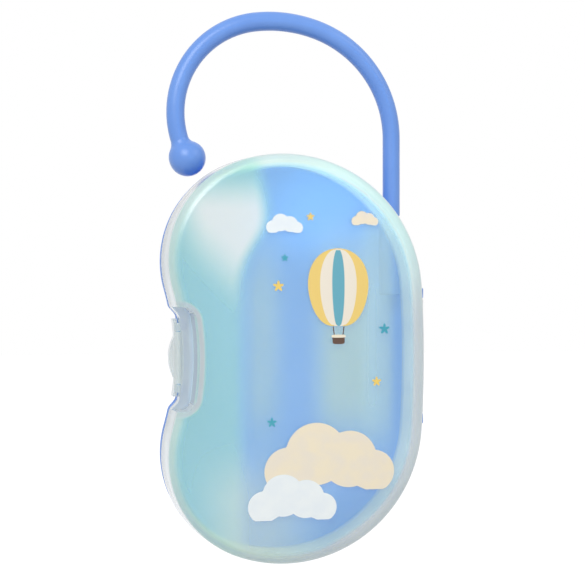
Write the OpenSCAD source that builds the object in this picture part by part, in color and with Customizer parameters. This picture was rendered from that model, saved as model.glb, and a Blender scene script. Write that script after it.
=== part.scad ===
// Double soother case with a carrying hook: a bean-shaped rear shell, a clear domed
// front cover on two side hinges, a thumb latch in the waist, and a round-rod hook that
// turns on its straight stem.
//
// The pieces are drawn lying down: x to the right, y up the case, z out of its front,
// with z = 0 at the rear shell's rim and the case's middle at x = y = 0. hang() then
// stands them up, so that the case hangs below the inside of the hook's crown.

/* [Case outline] */
// Height of the case at its rim
case_h = 126; // [118:1:134]
// Width of the case at its rim
case_w = 80.5; // [76:0.5:86]
// Radius of the two lobes beside the waist
lobe_r = 32.5; // [30.5:0.1:34]
// How far the highest point of the case lies from its middle, towards the latch side
top_in = 4; // [2.8:0.1:5.2]
// Radius of the nearly straight hinge side
side_r = 350; // [290:10:480]
// Depth of the hollow waist on the latch side
waist_depth = 4.1; // [3.5:0.1:4.8]

/* [Rear shell] */
// Depth of the rear shell behind its rim
rear_depth = 24; // [21:0.5:28]
// Wall of the rear shell
rear_wall = 1.8; // [1.6:0.1:2.2]
// Radius between the rear shell's side and its back
rear_bowl_r = 20; // [16:0.5:21]
// How far the side leans in between the rim and the back radius
rear_draft = 0.2; // [0:0.1:0.5]

/* [Front cover] */
// Depth of the front cover in front of its rim
cover_depth = 20; // [18:0.5:24]
// Wall of the front cover
cover_wall = 1.6; // [1.4:0.1:1.9]
// Radius of the front edge
cover_edge_r = 3.6; // [3:0.1:4.5]
// How far the front swells out over its edge
cover_crown = 2; // [1:0.1:3]
// How far the side leans in between the rim and the front edge
cover_draft = 0.6; // [0.2:0.1:1]
// Gap between the two rims when the case is shut
seam = 0.2; // [0.1:0.05:0.4]
// How far the cover's lip reaches into the rear shell
lip_h = 2.2; // [1.5:0.1:2.5]
// Thickness of the lip
lip_t = 1.2; // [0.9:0.1:1.5]
// Gap between the lip and the rear shell's wall
lip_gap = 0.25; // [0.15:0.05:0.4]
// Height in front of the rim up to which the cover's side is as thick as the lip
lip_root = 1.2; // [1:0.1:2]
// Height over which that thickness fades into the cover's wall
lip_fade = 2.2; // [1.5:0.1:3]

/* [Side hinges] */
// Distance of the hinge axis outside the case
hinge_out = 0.9; // [0.7:0.1:1.2]
// Distance between the middles of the two hinges
hinge_pitch = 30; // [24:1:50]
// Diameter of the hinge knuckles
knuckle_d = 4.6; // [4.2:0.1:5]
// Length of the cover's knuckle
knuckle_len = 6; // [4:0.5:9]
// Length of each of the rear shell's two knuckles
ear_len = 3.2; // [2.5:0.1:5]
// Diameter of the hinge pins
hinge_pin_d = 1.8; // [1.4:0.1:2.2]
// Diameter of a hinge pin's head
hinge_head_d = 3; // [2.6:0.1:3.8]
// Thickness of a hinge pin's head
hinge_head_t = 0.8; // [0.5:0.1:1.2]

/* [Thumb latch] */
// Width of the latch plate, up the case
latch_w = 24; // [21:0.5:27]
// How far the latch plate reaches behind the rim
latch_drop = 4.4; // [4.2:0.1:5]
// Thickness of the latch plate
latch_t = 1.2; // [1:0.1:1.4]
// Gap between the latch plate and the case's side
latch_gap = 0.2; // [0.15:0.05:0.3]
// How far the case's side is set back under the latch plate
seat_in = 1.8; // [1.4:0.1:2.2]
// Length of the slope at each end of that seat, up the case
seat_fade = 4; // [3.5:0.1:5]
// Height of the latch's pivot in front of the rim
latch_pivot = 2.6; // [2.4:0.1:2.8]
// Diameter of the latch's pivot barrel
latch_barrel_d = 2.8; // [2.6:0.1:3]
// Length of the latch's pivot barrel
latch_barrel_len = 16; // [12:0.5:17]
// Length of each of the cover's two lugs that hold the latch pin
lug_len = 2.4; // [2:0.1:3]
// Diameter of the latch pin
latch_pin_d = 1.3; // [1.1:0.1:1.5]
// Length of the thumb pad's arc, up the case
thumb_len = 14.4; // [12:0.2:18]
// How far the thumb pad stands out of the latch plate
thumb_rise = 1.9; // [1.4:0.1:2.4]
// Height of the thumb pad from its lower edge towards the front
thumb_h = 3.6; // [3:0.1:4]
// Length of the catch nib on the back of the latch plate
nib_len = 12; // [8:0.5:16]
// Height of the catch nib
nib_h = 1; // [0.8:0.1:1.2]
// How far the catch nib reaches into the rear shell's side
nib_reach = 0.8; // [0.5:0.1:0.9]

/* [Latch recess] */
// How far the recess goes into the front cover's side
recess_in = 5.4; // [5:0.1:7]
// Length of the recess, up the case
recess_len = 31.5; // [29:0.5:34]
// Height of the recess floor in front of the rim
recess_floor = 5.2; // [5:0.1:6]
// Radius of the recess's inner corners
recess_corner_r = 4; // [2.5:0.1:5]

/* [Carrying hook] */
// Diameter of the hook's rod at the stem
rod_d = 5.5; // [5.2:0.1:5.8]
// Diameter of the rod at the top of the crown
crown_d = 6; // [5.6:0.1:6.6]
// Diameter of the rod where it meets the ball
neck_d = 5.7; // [5.2:0.1:6.2]
// Diameter of the ball on the hook's free end
ball_d = 11.5; // [10.5:0.1:12.5]
// Gap between the ball and the case's lobe
ball_gap = 1.8; // [1.4:0.1:3]
// Direction of the ball from the middle of the lobe
ball_a = 125.8; // [122:0.1:129]
// Distance of the stem's axis inside the hinge side
stem_inset = 5.45; // [5.2:0.05:6.2]
// Distance of the hook's plane behind the rim
hook_back = 6.8; // [6.4:0.1:8]
// Radius of the hook's shoulder, above the stem
shoulder_r = 36.2; // [34:0.1:38]
// Turn of the hook's shoulder before the crown
shoulder_a = 71; // [63:1:76]
// Radius of the hook's crown
crown_r = 43.4; // [41:0.1:47]
// Radius of the hook's free side
tip_r = 29.3; // [27:0.1:32]
// Direction of the ball from the middle of the free side's arc
tip_a = 209.4; // [205:0.1:214]

/* [Hook socket] */
// Outer diameter of the socket inside the rear shell
socket_d = 7.8; // [7:0.1:8.2]
// Length of the socket below the shoulder of the rear shell
socket_len = 20; // [14:0.5:24]
// Thickness of the socket's closed end
socket_floor = 1.4; // [1:0.1:2]
// Diameter of the stem that turns in the socket
stem_d = 4.6; // [4.2:0.1:4.8]
// Gap between the stem and its bore, on the radius
stem_fit = 0.06; // [0.02:0.01:0.1]
// Gap between the stem and the bore's end, and between the rod and the rear shell
stem_gap = 0.3; // [0.2:0.05:0.5]
// Diameter of the ridge in the bore that the stem snaps past
snap_d = 3.9; // [3.6:0.1:4]
// Height of the ridge
snap_h = 1; // [0.8:0.1:1.4]
// Height of the ridge above the bore's end
snap_up = 2.2; // [1.8:0.1:3]
// Gap between the stem's groove and the ridge, along the stem
snap_gap = 0.15; // [0.1:0.05:0.3]
// Width of the slit that lets the stem's end spring in
slit_w = 1; // [0.6:0.1:1.4]
// Depth of that slit
slit_depth = 5; // [3.5:0.1:6]

/* [Fits] */
// Gap between a turning barrel and its pin, on the radius
pin_fit = 0.05; // [0.02:0.01:0.1]
// Gap between the ends of neighbouring knuckles
end_gap = 0.3; // [0.2:0.05:0.5]
// Gap around a knuckle in the other half's side
notch_gap = 0.35; // [0.25:0.05:0.5]

/* [Hidden] */
blue = "#5f93e4";
clear = "#cfe6e4";
$fn = 48;
eps = 0.01;

// Segments of each arc of the outline
n_side = 8;
n_corner = 13;
n_lobe = 13;
// Rings over a rounded edge and over the front or back
n_edge = 6;
n_crown = 4;

// ---- the outline: six arcs that meet without a corner ----
side_c = [case_w / 2 - side_r, 0];
// The corner's arc touches the side's arc, and its highest point lies above its middle
corner_r = (pow(side_r, 2) - pow(top_in + side_c.x, 2) - pow(case_h / 2, 2)) / (2 * side_r - case_h);
corner_y = case_h / 2 - corner_r;
corner_c = [-top_in, corner_y];
lobe_x = lobe_r - case_w / 2;
lobe_c = [lobe_x, corner_y + sqrt(pow(corner_r - lobe_r, 2) - pow(corner_c.x - lobe_x, 2))];
waist_x = waist_depth - case_w / 2;
waist_in = lobe_c.x - waist_x;
waist_r = (pow(waist_in, 2) + pow(lobe_c.y, 2) - pow(lobe_r, 2)) / (2 * (lobe_r - waist_in));
waist_c = [waist_x - waist_r, 0];
// Directions in which the arcs meet
side_a = atan2(corner_y, corner_c.x - side_c.x);
corner_a = atan2(lobe_c.y - corner_c.y, lobe_c.x - corner_c.x);
waist_a = atan2(lobe_c.y, lobe_c.x - waist_c.x);
// Directions in which the latch's seat begins to step in, and in which it has its full depth
seat_a = asin((latch_w / 2 + end_gap) / waist_r);
step_a = asin((latch_w / 2 + end_gap + seat_fade) / waist_r);

function polar(r, a) = [r * cos(a), r * sin(a)];
function arc(c, r, a0, a1, n) = [for (i = [0 : n - 1]) c + polar(r, a0 + (a1 - a0) * i / n)];
function below(p) = [p.x, -p.y];

// A value that runs smoothly from one to the other as f goes from 0 to 1
function ease(from, to, f) = from + (to - from) * (1 - cos(180 * f)) / 2;

// The waist's points lie closer together where the seat steps in
function steps(a0, a1, n) = [for (i = [0 : n - 1]) a0 + (a1 - a0) * i / n];
waist_dirs = concat(steps(waist_a, step_a, 4), steps(step_a, seat_a, 5), steps(seat_a, -seat_a, 6),
                    steps(-seat_a, -step_a, 5), steps(-step_a, -waist_a, 4));
function seat_share(a) = ease(0, 1, min(1, max(0, (step_a - abs(a)) / (step_a - seat_a))));
function waist(d, seat) =
    [for (a = waist_dirs) waist_c + polar(waist_r + d + seat * seat_in * seat_share(a), a)];

// The outline, moved inwards by d all the way round, with a share of the seat's depth
function outline(d, seat = 1) = concat(
    arc(side_c, side_r - d, -side_a, side_a, n_side),
    arc(corner_c, corner_r - d, side_a, corner_a, n_corner),
    arc(lobe_c, lobe_r - d, corner_a, 180 + waist_a, n_lobe),
    waist(d, seat),
    arc(below(lobe_c), lobe_r - d, 180 - waist_a, 360 - corner_a, n_lobe),
    arc(below(corner_c), corner_r - d, 360 - corner_a, 360 - side_a, n_corner));

// How far out the hinge side lies at a height y
function side_at(y) = side_c.x + sqrt(pow(side_r, 2) - pow(y, 2));

// ---- shells ----
function at(points, z) = [for (p = points) [p.x, p.y, z]];
function flat(rows) = [for (row = rows) for (p = row) p];

// Rings over a front or back that swells by crown inside the ring at inset d
function crown_rings(d, z, crown) =
    [for (i = [1 : n_crown]) let (f = i / (n_crown + 1)) at(f * outline(d, 0), z + crown * (1 - f * f))];

// Rings down a rounded edge, from the crown, where the seat has faded out, to the side
function edge_rings(d, z, r, top_a) =
    [for (i = [0 : n_edge]) let (a = top_a * (1 - i / n_edge))
        at(outline(d + r * (1 - cos(a)), pow(cos(a), 4)), z + r * sin(a))];

// A closed body through rings, from a pole above the first to a pole beyond the last
module skin(rings, first, last) {
    n = len(rings[0]);
    m = len(rings);
    faces = concat(
        [for (j = [0 : n - 1]) [0, 1 + (j + 1) % n, 1 + j]],
        [for (i = [0 : m - 2]) for (j = [0 : n - 1]) let (k = (j + 1) % n, a = 1 + i * n, b = a + n)
            each [[a + j, a + k, b + k], [a + j, b + k, b + j]]],
        [for (j = [0 : n - 1]) let (a = 1 + (m - 1) * n) [1 + m * n, a + j, a + (j + 1) % n]]);
    polyhedron(concat([first], flat(rings), [last]), faces);
}

// Turn of the front edge from the side to where the crown begins
edge_a = 84;

// ---- rear shell ----
rear_side = rear_depth - rear_bowl_r;

// Rings of the rear shell's outside, wall in from it, with the back upwards
function rear_rings(wall) = concat(
    [for (i = [1 : n_crown]) let (f = i / (n_crown + 1))
        at(f * outline(rear_draft + rear_bowl_r, 0), rear_depth - wall)],
    edge_rings(rear_draft + wall, rear_side, rear_bowl_r - wall, 90));

function reversed(list) = [for (i = [len(list) - 1 : -1 : 0]) list[i]];

module rear_bowl() {
    outer = rear_rings(0);
    inner = reversed(rear_rings(rear_wall));
    mirror([0, 0, 1])
        skin(concat(outer, [at(outline(0), 0), at(outline(rear_wall), 0)], inner),
             [0, 0, rear_depth], [0, 0, rear_depth - rear_wall]);
}

// What lies inside the middle of the rear shell's wall
module rear_block() {
    mirror([0, 0, 1])
        skin(concat(rear_rings(rear_wall / 2), [at(outline(rear_wall / 2), 0)]),
             [0, 0, rear_depth - rear_wall / 2], [0, 0, 0]);
}

// ---- front cover ----
cover_rim = seam;
cover_edge_z = cover_depth - cover_crown - cover_edge_r;
lip_out = rear_wall + lip_gap;
lip_in = lip_out + lip_t;

function cover_rings(wall) = concat(
    crown_rings(cover_draft + wall + (cover_edge_r - wall) * (1 - cos(edge_a)),
                cover_edge_z + (cover_edge_r - wall) * sin(edge_a), cover_crown),
    edge_rings(cover_draft + wall, cover_edge_z, cover_edge_r - wall, edge_a));

cover_top = cover_edge_z + cover_edge_r * sin(edge_a) + cover_crown;

module cover_dome() {
    inner = reversed(cover_rings(cover_wall));
    skin(concat(cover_rings(0),
                [at(outline(0), cover_rim), at(outline(lip_out), cover_rim),
                 at(outline(lip_out), -lip_h), at(outline(lip_in), -lip_h),
                 at(outline(lip_in), lip_root),
                 at(outline(cover_wall + eps), lip_root + lip_fade)],
                inner),
         [0, 0, cover_top], [0, 0, cover_top - cover_wall]);
}

// The same outside, filled
module cover_block() {
    skin(concat(cover_rings(0), [at(outline(0), cover_rim)]), [0, 0, cover_top], [0, 0, cover_rim]);
}

// ---- hinges ----
hinge_x = case_w / 2 + hinge_out;
hinge_z = seam / 2;
ear_y = knuckle_len / 2 + end_gap;
hinge_len = 2 * (ear_y + ear_len);

module along_y(x, z, y0, y1) {
    translate([x, y0, z]) rotate([-90, 0, 0]) linear_extrude(y1 - y0) children();
}

// One knuckle, joined to the side by a root that lies on one side of the axis
module knuckle(y0, y1, side) {
    root = hinge_x - side_at(hinge_pitch / 2 + hinge_len / 2) + rear_wall / 2;
    along_y(hinge_x, hinge_z, y0, y1) circle(d = knuckle_d);
    translate([hinge_x - root, y0, side > 0 ? cover_rim : hinge_z - knuckle_d / 2])
        cube([root, y1 - y0, knuckle_d / 2 - (side > 0 ? seam / 2 : hinge_z)]);
}

module at_hinges() {
    for (s = [-1, 1]) translate([0, s * hinge_pitch / 2, 0]) children();
}

module hinge_pin(s) {
    translate([0, s * hinge_pitch / 2, 0]) {
        along_y(hinge_x, hinge_z, -hinge_len / 2, hinge_len / 2) circle(d = hinge_pin_d);
        along_y(hinge_x, hinge_z, hinge_len / 2, hinge_len / 2 + hinge_head_t) circle(d = hinge_head_d);
    }
}

// ---- latch ----
latch_z = latch_pivot;
plate_in = waist_r + seat_in - latch_gap;
plate_out = plate_in - latch_t;
barrel_x = waist_c.x + (plate_out + plate_in) / 2;
nib_z = -latch_drop + nib_h;
thumb_r = (pow(thumb_len / 2, 2) + pow(thumb_rise, 2)) / (2 * thumb_rise);

// What lies within half a width of the waist's middle
module band(w) {
    translate([waist_c.x, -w / 2]) square([waist_r + case_w / 2, w]);
}

module plate_plan(w) {
    intersection() {
        translate(waist_c) difference() {
            circle(plate_in, $fn = 360);
            circle(plate_out, $fn = 360);
        }
        band(w);
    }
}

// The recess seen from the front, grown by extra on its inner sides
module recess_plan(extra) {
    r = waist_r + recess_in + extra;
    half = recess_len / 2 + extra;
    corner = recess_corner_r + extra;
    corner_at = [waist_c.x + sqrt(pow(r - corner, 2) - pow(half - corner, 2)), half - corner];
    intersection() {
        translate(waist_c) circle(r, $fn = 360);
        union() {
            band(2 * (half - corner));
            translate([waist_c.x, -half]) square([corner_at.x - waist_c.x, 2 * half]);
            for (s = [-1, 1]) translate([corner_at.x, s * corner_at.y]) circle(corner);
        }
    }
}

// ---- hook ----
stem_x = case_w / 2 - stem_inset;
ball_c = lobe_c + polar(lobe_r + ball_gap + ball_d / 2, ball_a);
tip_c = ball_c - polar(tip_r, tip_a);
crown_x = stem_x - shoulder_r - (crown_r - shoulder_r) * cos(shoulder_a);
crown_c = [crown_x, tip_c.y - sqrt(pow(crown_r - tip_r, 2) - pow(crown_x - tip_c.x, 2))];
shoulder_c = crown_c + polar(crown_r - shoulder_r, shoulder_a);
crown_end = atan2(tip_c.y - crown_c.y, tip_c.x - crown_c.x);
saddle = [crown_c.x, crown_c.y + crown_r - crown_d / 2];

// Height at which the stem's axis leaves the rear shell's corner
shoulder_y = corner_c.y + sqrt(pow(corner_r, 2) - pow(stem_x - corner_c.x, 2));
socket_low = shoulder_y - socket_len;
bore_low = socket_low + socket_floor;
snap_y = bore_low + snap_up;
stem_low = bore_low + stem_gap;
// Height at which the rod, thicker than its stem, is clear of the corner
rod_low = corner_c.y + sqrt(pow(corner_r + stem_gap, 2) - pow(stem_x - rod_d / 2 - corner_c.x, 2));

// Sides of the rod, and how many degrees of bend each of its rings covers
rod_sides = 28;
ring_a = 5;
// Rings over each half of the ball
n_ball = 7;

// A ring of the rod around c, square to the path, where a is the direction out of the bend
function rod_ring(c, a, r) =
    [for (k = [0 : rod_sides - 1]) let (b = 360 * k / rod_sides)
        [c.x + r * cos(b) * cos(a), c.y + r * cos(b) * sin(a), r * sin(b)]];

// Rings along one arc of the path, over which the diameter goes from d0 at a0 to d1 at a1
function bend_rings(c, r, a0, a1, d0, d1) = let (n = ceil((a1 - a0) / ring_a))
    [for (i = [0 : n - 1]) let (a = a0 + (a1 - a0) * i / n)
        rod_ring(c + polar(r, a), a, ease(d0, d1, i / n) / 2)];

// Rings over the ball: it swells out of the neck on the near half and is round beyond
function ball_rings() = let (r = ball_d / 2)
    [for (i = [0 : 2 * n_ball - 1])
        let (b = 90 * (i / n_ball - 1), t = r * sin(b), neck = neck_d / 2 * max(0, -sin(b)))
        rod_ring(ball_c + polar(t, tip_a + 90), tip_a, pow(pow(r * cos(b), 4) + pow(neck, 4), 1 / 4))];

// ---- pieces, lying down ----
module rear_shell_flat() {
    difference() {
        union() {
            rear_bowl();
            at_hinges() for (s = [-1, 1]) {
                y0 = s > 0 ? ear_y : -ear_y - ear_len;
                knuckle(y0, y0 + ear_len, -1);
            }
            intersection() {
                rear_block();
                along_y(stem_x, -hook_back, socket_low, rod_low) circle(d = socket_d);
            }
        }
        at_hinges() {
            along_y(hinge_x, hinge_z, -hinge_len, hinge_len) circle(d = hinge_pin_d);
            along_y(hinge_x, hinge_z, -ear_y, ear_y) circle(d = knuckle_d + 2 * notch_gap);
            along_y(hinge_x, hinge_z, hinge_len / 2, hinge_len / 2 + hinge_head_t + end_gap)
                circle(d = hinge_head_d + 2 * notch_gap);
        }
        // the socket's bore, with the ridge left standing in it
        along_y(stem_x, -hook_back, bore_low, snap_y) circle(d = stem_d + 2 * stem_fit);
        along_y(stem_x, -hook_back, bore_low, rod_low) circle(d = snap_d);
        along_y(stem_x, -hook_back, snap_y + snap_h, rod_low)
            circle(d = stem_d + 2 * stem_fit);
        // pocket for the catch nib
        translate([waist_c.x, -nib_len / 2 - notch_gap, nib_z - nib_h - notch_gap])
            cube([waist_r + seat_in + nib_reach + latch_gap, nib_len + 2 * notch_gap,
                  nib_h + 2 * notch_gap]);
    }
}

module front_cover_flat() {
    lug_y = latch_barrel_len / 2 + end_gap;
    difference() {
        union() {
            difference() {
                union() {
                    cover_dome();
                    intersection() {
                        cover_block();
                        translate([0, 0, recess_floor - cover_wall])
                            linear_extrude(cover_depth) recess_plan(cover_wall);
                    }
                }
                translate([0, 0, recess_floor]) linear_extrude(cover_depth) recess_plan(0);
            }
            at_hinges() knuckle(-knuckle_len / 2, knuckle_len / 2, 1);
            for (s = [-1, 1]) {
                y0 = s > 0 ? lug_y : -lug_y - lug_len;
                along_y(barrel_x, latch_z, y0, y0 + lug_len) circle(d = latch_barrel_d);
                translate([barrel_x, y0, latch_z - latch_barrel_d / 2])
                    cube([latch_gap + latch_t / 2 + cover_wall, lug_len, latch_barrel_d]);
            }
        }
        at_hinges() {
            along_y(hinge_x, hinge_z, -hinge_len / 2, hinge_len / 2)
                circle(d = hinge_pin_d + 2 * pin_fit);
            for (s = [-1, 1]) {
                y0 = s > 0 ? knuckle_len / 2 : -hinge_len / 2 - end_gap - hinge_head_t;
                along_y(hinge_x, hinge_z, y0, y0 + ear_len + 2 * end_gap + hinge_head_t)
                    circle(d = knuckle_d + 2 * notch_gap);
            }
        }
        along_y(barrel_x, latch_z, -lug_y, lug_y) circle(d = latch_barrel_d + 2 * notch_gap);
        along_y(barrel_x, latch_z, -lug_y - lug_len - eps, lug_y + lug_len + eps)
            circle(d = latch_pin_d);
    }
}

module latch_flap_flat() {
    neck_top = latch_z - latch_barrel_d / 2 - notch_gap;
    difference() {
        union() {
            translate([0, 0, -latch_drop]) linear_extrude(latch_drop + neck_top) plate_plan(latch_w);
            translate([0, 0, neck_top]) linear_extrude(latch_z - neck_top) plate_plan(latch_barrel_len);
            along_y(barrel_x, latch_z, -latch_barrel_len / 2, latch_barrel_len / 2)
                circle(d = latch_barrel_d);
            // thumb pad: a slice of an upright drum that stands out of the plate
            translate([0, 0, -latch_drop]) linear_extrude(thumb_h) intersection() {
                translate([waist_c.x + plate_out - thumb_rise + thumb_r, 0]) circle(thumb_r, $fn = 180);
                translate([waist_c.x + plate_out - thumb_rise, -latch_w / 2])
                    square([thumb_rise + latch_t / 2, latch_w]);
            }
            // catch nib
            translate([waist_c.x + plate_in - latch_t / 2, -nib_len / 2, nib_z - nib_h])
                cube([latch_t / 2 + latch_gap + nib_reach, nib_len, nib_h]);
        }
        along_y(barrel_x, latch_z, -latch_barrel_len, latch_barrel_len)
            circle(d = latch_pin_d + 2 * pin_fit);
    }
}

module latch_pin_flat() {
    half = latch_barrel_len / 2 + end_gap + lug_len;
    along_y(barrel_x, latch_z, -half, half) circle(d = latch_pin_d);
}

module carry_hook_flat() {
    // the rod's last bend ends where the ball begins
    ball_turn = asin(ball_d / 2 / tip_r);
    shoulder_d = ease(rod_d, crown_d, shoulder_a / 90);
    translate([0, 0, -hook_back])
        skin(concat([rod_ring([stem_x, rod_low], 0, rod_d / 2)],
                    bend_rings(shoulder_c, shoulder_r, 0, shoulder_a, rod_d, shoulder_d),
                    bend_rings(crown_c, crown_r, shoulder_a, 90, shoulder_d, crown_d),
                    bend_rings(crown_c, crown_r, 90, crown_end, crown_d, crown_d),
                    bend_rings(tip_c, tip_r, crown_end, tip_a - ball_turn, crown_d, neck_d),
                    ball_rings()),
             [stem_x, rod_low, 0], concat(ball_c + polar(ball_d / 2, tip_a + 90), 0));
    difference() {
        along_y(stem_x, -hook_back, stem_low, rod_low + rod_d) circle(d = stem_d);
        along_y(stem_x, -hook_back, snap_y - snap_gap, snap_y + snap_h + snap_gap) difference() {
            circle(d = 2 * stem_d);
            circle(d = snap_d - 2 * stem_fit);
        }
        translate([stem_x - slit_w / 2, stem_low - eps, -hook_back - stem_d])
            cube([slit_w, slit_depth, 2 * stem_d]);
    }
}

// ---- pieces, hanging ----
module hang() {
    translate([-saddle.x, -hook_back, -saddle.y]) rotate([90, 0, 0]) children();
}

module rear_shell() { color(blue) hang() rear_shell_flat(); }
module front_cover() { color(clear) hang() front_cover_flat(); }
module hinge_pin_upper() { color(blue) hang() hinge_pin(1); }
module hinge_pin_lower() { color(blue) hang() hinge_pin(-1); }
module latch_flap() { color(clear) hang() latch_flap_flat(); }
module latch_pin() { color(clear) hang() latch_pin_flat(); }
module carry_hook() { color(blue) hang() carry_hook_flat(); }

rear_shell();
front_cover();
hinge_pin_upper();
hinge_pin_lower();
latch_flap();
latch_pin();
carry_hook();
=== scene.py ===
# %% [markdown]
# # A soother case, dressed for its photograph
# The solids of the case come from the frame, at their real size and in their real place.
# This lesson gives them their looks: smooth moulded shells, a clear front with a milky edge, a round-rod
# hook, a print, and a studio. The frame is loaded first.

# %% Load the frame
import math

import bmesh
import bpy
import numpy as np
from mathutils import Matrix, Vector


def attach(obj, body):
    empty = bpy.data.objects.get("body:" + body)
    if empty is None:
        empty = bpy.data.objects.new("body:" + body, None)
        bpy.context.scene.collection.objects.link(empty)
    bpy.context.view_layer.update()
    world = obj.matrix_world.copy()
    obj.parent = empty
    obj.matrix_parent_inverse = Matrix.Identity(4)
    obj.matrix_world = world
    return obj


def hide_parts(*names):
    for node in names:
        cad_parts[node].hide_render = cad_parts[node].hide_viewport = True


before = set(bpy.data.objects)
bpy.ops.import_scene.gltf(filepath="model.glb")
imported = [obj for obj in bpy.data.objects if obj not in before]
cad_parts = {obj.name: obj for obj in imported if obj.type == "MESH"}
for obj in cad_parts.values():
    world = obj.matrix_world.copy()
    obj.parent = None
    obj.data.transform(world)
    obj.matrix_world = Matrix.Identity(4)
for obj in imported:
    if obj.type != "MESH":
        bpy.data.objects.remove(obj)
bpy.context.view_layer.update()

# %% [markdown]
# ## One set of sizes
# The case is easiest to think of lying on its back: x to the right, y up the case, z out
# of its front, and z = 0 where the two halves meet. Everything is in millimetres there.
# The sizes are the ones that the solids have, and a piece that is computed from them fits
# the frame without any nudging.

# %% Driving sizes of the case, in millimetres
case_h = 126
case_w = 80.5
lobe_r = 32.5
top_in = 4
side_r = 350
waist_depth = 4.1
rear_depth = 24
rear_wall = 1.8
rear_bowl_r = 20
rear_draft = 0.2
cover_depth = 20
cover_wall = 1.6
cover_edge_r = 3.6
cover_crown = 2
cover_draft = 0.6
seam = 0.2
lip_h = 2.2
lip_t = 1.2
lip_gap = 0.25
lip_root = 1.2
lip_fade = 2.2
print("case:", case_w, "x", case_h, "x", rear_depth + cover_depth, "mm")

# %% [markdown]
# ## The outline
# Seen from the front, the case is a bean. Its outline could be a spline through hand-set
# points, but a tool maker draws it with a compass: six arcs, each touching the next
# without a corner. Arcs also make a wall's inner line easy, because moving an arc inwards
# only changes its radius. In the waist the side steps back a little, where the latch plate
# lies against it; that seat fades out towards the back and the front.

# %% Where the outline's arcs have their middles
latch_w = 24
end_gap = 0.3
seat_in = 1.8
seat_fade = 4

side_x = case_w / 2 - side_r
corner_r = (side_r**2 - (top_in + side_x)**2 - (case_h / 2)**2) / (2 * side_r - case_h)
corner_y = case_h / 2 - corner_r
lobe_x = lobe_r - case_w / 2
lobe_y = corner_y + math.sqrt((corner_r - lobe_r)**2 - (top_in + lobe_x)**2)
waist_x = waist_depth - case_w / 2
waist_in = lobe_x - waist_x
waist_r = (waist_in**2 + lobe_y**2 - lobe_r**2) / (2 * (lobe_r - waist_in))
waist_cx = waist_x - waist_r
side_a = math.atan2(corner_y, -top_in - side_x)
corner_a = math.atan2(lobe_y - corner_y, lobe_x + top_in)
waist_a = math.atan2(lobe_y, lobe_x - waist_cx)
turn = 2 * math.pi

# middle x, middle y, radius, first and last direction, points, and 1 where the arc bulges out
arcs = [
    (side_x, 0, side_r, -side_a, side_a, 36, 1),
    (-top_in, corner_y, corner_r, side_a, corner_a, 64, 1),
    (lobe_x, lobe_y, lobe_r, corner_a, math.pi + waist_a, 46, 1),
    (waist_cx, 0, waist_r, waist_a, -waist_a, 90, -1),
    (lobe_x, -lobe_y, lobe_r, math.pi - waist_a, turn - corner_a, 46, 1),
    (-top_in, -corner_y, corner_r, turn - corner_a, turn - side_a, 64, 1),
]


def along_arcs():
    """One row per point of the outline: middle x, middle y, radius, direction, bulge."""
    rows = []
    for x, y, r, first, last, count, bulge in arcs:
        a = np.linspace(first, last, count, endpoint=False)
        rows.append(np.stack([np.full(count, v) for v in (x, y, r)] + [a, np.full(count, bulge)]))
    return np.concatenate(rows, 1)


mid_x, mid_y, radius, heading, bulge = along_arcs()

# %% The seat for the latch plate, and the outline at any inset
# a direction's share of the seat is (1 - cos(pi t)) / 2, where t runs from 0 to 1 up the slope
seat_a, step_a = (math.asin((latch_w / 2 + end_gap + v) / waist_r) for v in (0, seat_fade))
seat_rise = np.clip((step_a - np.abs(heading)) / (step_a - seat_a), 0, 1)
seat_share = np.where(bulge < 0, (1 - np.cos(np.pi * seat_rise)) / 2, 0)


def outline(inset, seat=1):
    """The outline moved inwards.

    p = middle + (radius - bulge * inset + seat * seat_in * share) * (cos a, sin a)
    inset and seat may be arrays; their shape comes before the outline's points.
    """
    inset, seat = (np.asarray(v, float)[..., None] for v in (inset, seat))
    r = radius - bulge * inset + seat * seat_in * seat_share
    return np.stack((mid_x + r * np.cos(heading), mid_y + r * np.sin(heading)), -1)


print("outline points:", heading.size, "corner radius:", round(corner_r, 2))

# %% [markdown]
# ## The hook's path
# The hook is one rod: a straight stem, a shoulder, a crown and a free side that ends in a
# ball. Its arcs touch each other too. The inside of the crown is where the whole object
# hangs, so that point is the frame's origin, and it is worked out here once.

# %% Driving sizes of the hook, in millimetres
rod_d = 5.5
crown_d = 6
neck_d = 5.7
ball_d = 11.5
ball_gap = 1.8
ball_a = math.radians(125.8)
stem_inset = 5.45
hook_back = 6.8
shoulder_r = 36.2
shoulder_a = math.radians(71)
crown_r = 43.4
tip_r = 29.3
tip_a = math.radians(209.4)

stem_x = case_w / 2 - stem_inset


def heading_of(a):
    """The unit arrow in direction a: (cos a, sin a)."""
    return np.array([math.cos(a), math.sin(a)])


# %% Where the hook's arcs have their middles
ball_c = np.array([lobe_x, lobe_y]) + (lobe_r + ball_gap + ball_d / 2) * heading_of(ball_a)
tip_c = ball_c - tip_r * heading_of(tip_a)
crown_x = stem_x - shoulder_r - (crown_r - shoulder_r) * math.cos(shoulder_a)
crown_c = np.array([crown_x, tip_c[1] - math.sqrt((crown_r - tip_r)**2 - (crown_x - tip_c[0])**2)])
shoulder_c = crown_c + (crown_r - shoulder_r) * heading_of(shoulder_a)
crown_end = math.atan2(tip_c[1] - crown_c[1], tip_c[0] - crown_c[0])
saddle = np.array([crown_x, crown_c[1] + crown_r - crown_d / 2])
print("saddle lies at", saddle.round(2), "on the lying case")

# %% From the lying case to the frame and back
MM = 0.001


def hang(points):
    """Stands the lying case up under the hook, in metres: (x - saddle x, -z - hook_back, y - saddle y)."""
    x, y, z = np.moveaxis(np.asarray(points, float), -1, 0)
    return np.stack((x - saddle[0], -z - hook_back, y - saddle[1]), -1) * MM


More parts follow.
